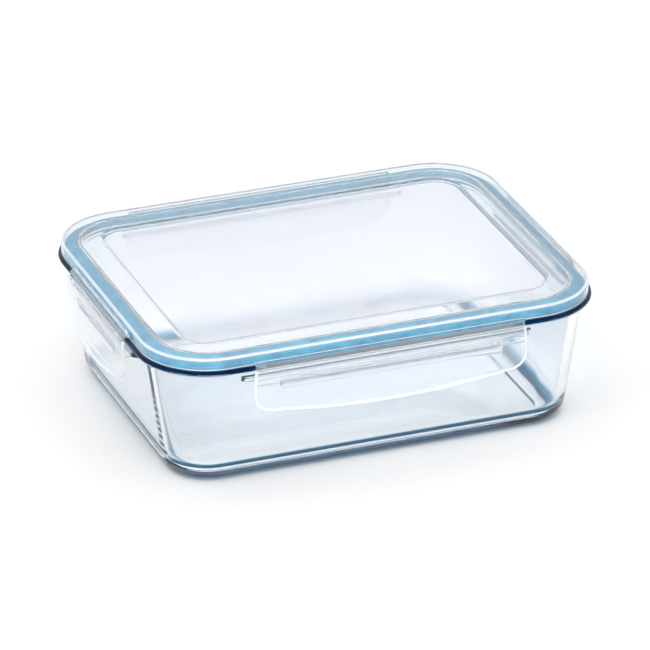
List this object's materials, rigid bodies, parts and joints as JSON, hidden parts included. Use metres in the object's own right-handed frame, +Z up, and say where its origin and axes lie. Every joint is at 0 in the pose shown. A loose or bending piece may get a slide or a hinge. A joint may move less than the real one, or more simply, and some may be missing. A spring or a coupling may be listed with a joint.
{
  "type": "glass storage container",
  "caption": "Rectangular glass food container with a clear clip-on lid, silicone seal and hinged locking flaps.",
  "frame": {"origin": "centre of the footprint, on the surface the container stands on", "axes": "+X along the long side, +Y to the back long side, +Z up"},
  "size_m": [0.22, 0.173, 0.065],
  "materials": {
    "glass": "clear pressed glass, blue-green at the edges",
    "lid_plastic": "clear moulded polypropylene",
    "flap_plastic": "clear moulded polypropylene, slightly milky",
    "silicone": "satin pale blue silicone"
  },
  "bodies": {
    "tray": {"glass_tray": "glass"},
    "lid": {"lid_cover": "lid_plastic", "seal_ring": "silicone", "hinge_web_front": "flap_plastic", "hinge_web_back": "flap_plastic", "hinge_web_left": "flap_plastic", "hinge_web_right": "flap_plastic"},
    "front_latch": {"flap_front": "flap_plastic", "snap_rib_front": "flap_plastic"},
    "back_latch": {"flap_back": "flap_plastic", "snap_rib_back": "flap_plastic"},
    "left_latch": {"flap_left": "flap_plastic", "snap_rib_left": "flap_plastic"},
    "right_latch": {"flap_right": "flap_plastic", "snap_rib_right": "flap_plastic"}
  },
  "joints": [
    {"name": "lid_lift", "type": "slide", "parent": "tray", "child": "lid", "axis": [0, 0, 1], "range_m": [0, 0.06], "deforming": ["snap_rib_front", "snap_rib_back", "snap_rib_left", "snap_rib_right"]},
    {"name": "front_flap_hinge", "type": "hinge", "parent": "lid", "child": "front_latch", "pos_m": [0, -0.08345, 0.05915], "axis": [-1, 0, 0], "range_deg": [0, 120], "deforming": ["hinge_web_front"]},
    {"name": "back_flap_hinge", "type": "hinge", "parent": "lid", "child": "back_latch", "pos_m": [0, 0.08345, 0.05915], "axis": [1, 0, 0], "range_deg": [0, 120], "deforming": ["hinge_web_back"]},
    {"name": "left_flap_hinge", "type": "hinge", "parent": "lid", "child": "left_latch", "pos_m": [-0.10695, 0, 0.05915], "axis": [0, 1, 0], "range_deg": [0, 120], "deforming": ["hinge_web_left"]},
    {"name": "right_flap_hinge", "type": "hinge", "parent": "lid", "child": "right_latch", "pos_m": [0.10695, 0, 0.05915], "axis": [0, -1, 0], "range_deg": [0, 120], "deforming": ["hinge_web_right"]}
  ]
}
